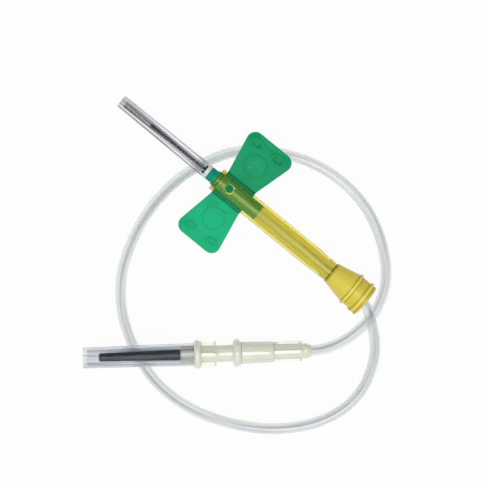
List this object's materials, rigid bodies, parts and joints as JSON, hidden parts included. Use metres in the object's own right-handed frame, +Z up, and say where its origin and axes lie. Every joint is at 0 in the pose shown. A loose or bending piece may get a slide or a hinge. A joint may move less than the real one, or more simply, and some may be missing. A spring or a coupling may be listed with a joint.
{
  "type": "butterfly needle",
  "caption": "Winged needle under a clear cap, in a sliding translucent shield, with looped tubing to a luer adapter whose rear needle has a rubber sleeve and a clear cover.",
  "frame": {"origin": "below the middle of the needle end's box, on the surface it lies on", "axes": "+X along the needle towards its tip, +Z up, +Y towards the left wing"},
  "size_m": [0.0904, 0.0756, 0.0092],
  "materials": {
    "hub_plastic": "moulded, glossy",
    "wing_plastic": "moulded, soft sheen",
    "steel": "drawn tube, ground bevel",
    "adhesive": "cured adhesive",
    "clear_cap": "moulded, clear, fluted",
    "shield_plastic": "moulded, translucent",
    "collar_plastic": "moulded, glossy",
    "tube_plastic": "extruded, clear",
    "luer_plastic": "moulded, translucent ivory",
    "sleeve_rubber": "moulded rubber",
    "clear_cover": "moulded, clear"
  },
  "bodies": {
    "hub": {"needle_hub": "hub_plastic", "cannula": "steel", "cannula_bond": "adhesive", "tubing": "tube_plastic", "female_luer": "luer_plastic"},
    "shield": {"safety_shield": "shield_plastic", "rear_collar": "collar_plastic"},
    "cap": {"needle_cap": "clear_cap"},
    "left_leaf": {"left_wing": "wing_plastic"},
    "right_leaf": {"right_wing": "wing_plastic"},
    "adapter": {"luer_adapter": "luer_plastic", "rear_cannula": "steel", "rear_cannula_bond": "adhesive", "rubber_sleeve": "sleeve_rubber"},
    "cover": {"sleeve_cover": "clear_cover"}
  },
  "joints": [
    {"name": "shield_slide", "type": "slide", "parent": "hub", "child": "shield", "axis": [0.9997, 0, 0.0262], "range_m": [0, 0.024]},
    {"name": "cap_pull", "type": "slide", "parent": "hub", "child": "cap", "axis": [0.9997, 0, 0.0262], "range_m": [0, 0.028]},
    {"name": "left_wing_fold", "type": "hinge", "parent": "hub", "child": "left_leaf", "pos_m": [0.00328, 0.0034, 0.0054], "axis": [0.9997, 0, 0.0262], "range_deg": [0, 85], "stiffness_Nm_per_rad": 0.0005},
    {"name": "right_wing_fold", "type": "hinge", "parent": "hub", "child": "right_leaf", "pos_m": [0.00328, -0.0034, 0.0054], "axis": [-0.9997, 0, -0.0262], "range_deg": [0, 85], "stiffness_Nm_per_rad": 0.0005},
    {"name": "adapter_pull", "type": "slide", "parent": "hub", "child": "adapter", "axis": [0.7544, 0.6512, 0.0819], "range_m": [0, 0.008]},
    {"name": "cover_pull", "type": "slide", "parent": "adapter", "child": "cover", "axis": [0.7544, 0.6512, 0.0819], "range_m": [0, 0.026]}
  ]
}
